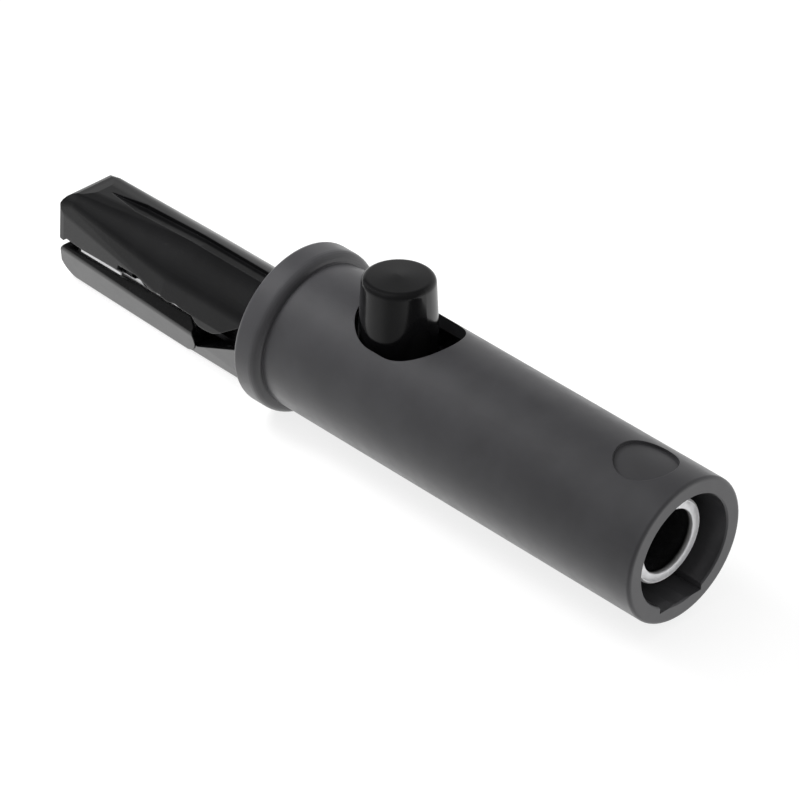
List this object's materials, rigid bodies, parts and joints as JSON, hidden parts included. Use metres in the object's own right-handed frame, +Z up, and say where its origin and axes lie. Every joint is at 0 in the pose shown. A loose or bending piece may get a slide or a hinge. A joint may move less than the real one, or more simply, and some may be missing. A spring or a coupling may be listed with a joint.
{
  "type": "insulated crocodile clip",
  "caption": "Insulated crocodile clip for test leads: a grey tube with a shrouded plug socket at one end and toothed jaws that a spring closes and a push button opens.",
  "frame": {"origin": "on the tube's axis, in the plane of the rear face, where the plug enters", "axes": "+X along the tube towards the plug, with the jaws at -X; +Z up, through the push button; +Y completes the right-handed frame"},
  "size_m": [0.0653, 0.0138, 0.0164],
  "materials": {
    "housing": "fine satin moulding, dark grey",
    "black_moulding": "semi-gloss moulding, black",
    "button": "gloss moulding, black",
    "blade": "bright nickel plating",
    "nickel": "nickel-plated brass",
    "bronze": "spring bronze",
    "steel": "plain bright steel"
  },
  "bodies": {
    "housing": {"housing_tube": "housing", "contact_sleeve": "nickel", "sleeve_lock_ring": "steel", "contact_strip": "bronze", "strip_rivet": "bronze", "jaw_carrier": "black_moulding", "lower_jaw_blade": "blade", "lower_jaw_cover": "black_moulding", "lower_cover_rivet": "steel", "pivot_pin": "steel", "pivot_pin_ring": "steel", "return_spring": "steel"},
    "upper_jaw": {"upper_jaw_lever": "black_moulding", "upper_jaw_blade": "blade", "upper_blade_rivets": "steel", "push_button": "button"}
  },
  "joints": [
    {"name": "jaw_pivot", "type": "hinge", "parent": "housing", "child": "upper_jaw", "pos_m": [-0.0385, 0, 0], "axis": [0, 1, 0], "range_deg": [0, 16], "stiffness_Nm_per_rad": 0.1, "springref_deg": -20.05, "deforming": ["return_spring"]}
  ]
}
